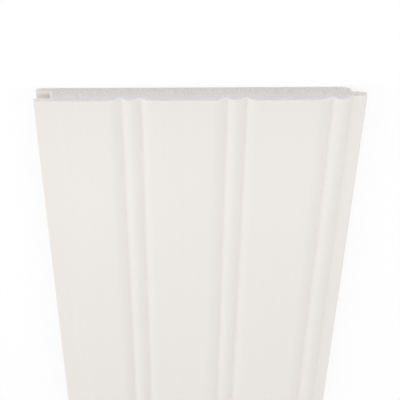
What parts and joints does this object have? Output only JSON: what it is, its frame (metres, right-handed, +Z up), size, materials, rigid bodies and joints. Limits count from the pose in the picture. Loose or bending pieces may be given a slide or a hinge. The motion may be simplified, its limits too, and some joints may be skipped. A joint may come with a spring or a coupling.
{
  "type": "beadboard plank",
  "caption": "Tongue-and-groove wainscot plank in white cellular plastic: flat panels between raised beads, a tongue along one edge and a slot along the other.",
  "frame": {"origin": "middle of the underside of the box around the plank, on its flat back", "axes": "+X across the width from the slot edge to the tongue edge, +Y along the length towards the cut end that the picture shows, +Z up out of the moulded face"},
  "size_m": [0.14, 2.4384, 0.0079],
  "materials": {
    "cellular_pvc": "satin extruded skin, warm white, on a fine closed-cell foam core"
  },
  "bodies": {
    "root": {"beadboard_plank": "cellular_pvc"}
  },
  "joints": []
}
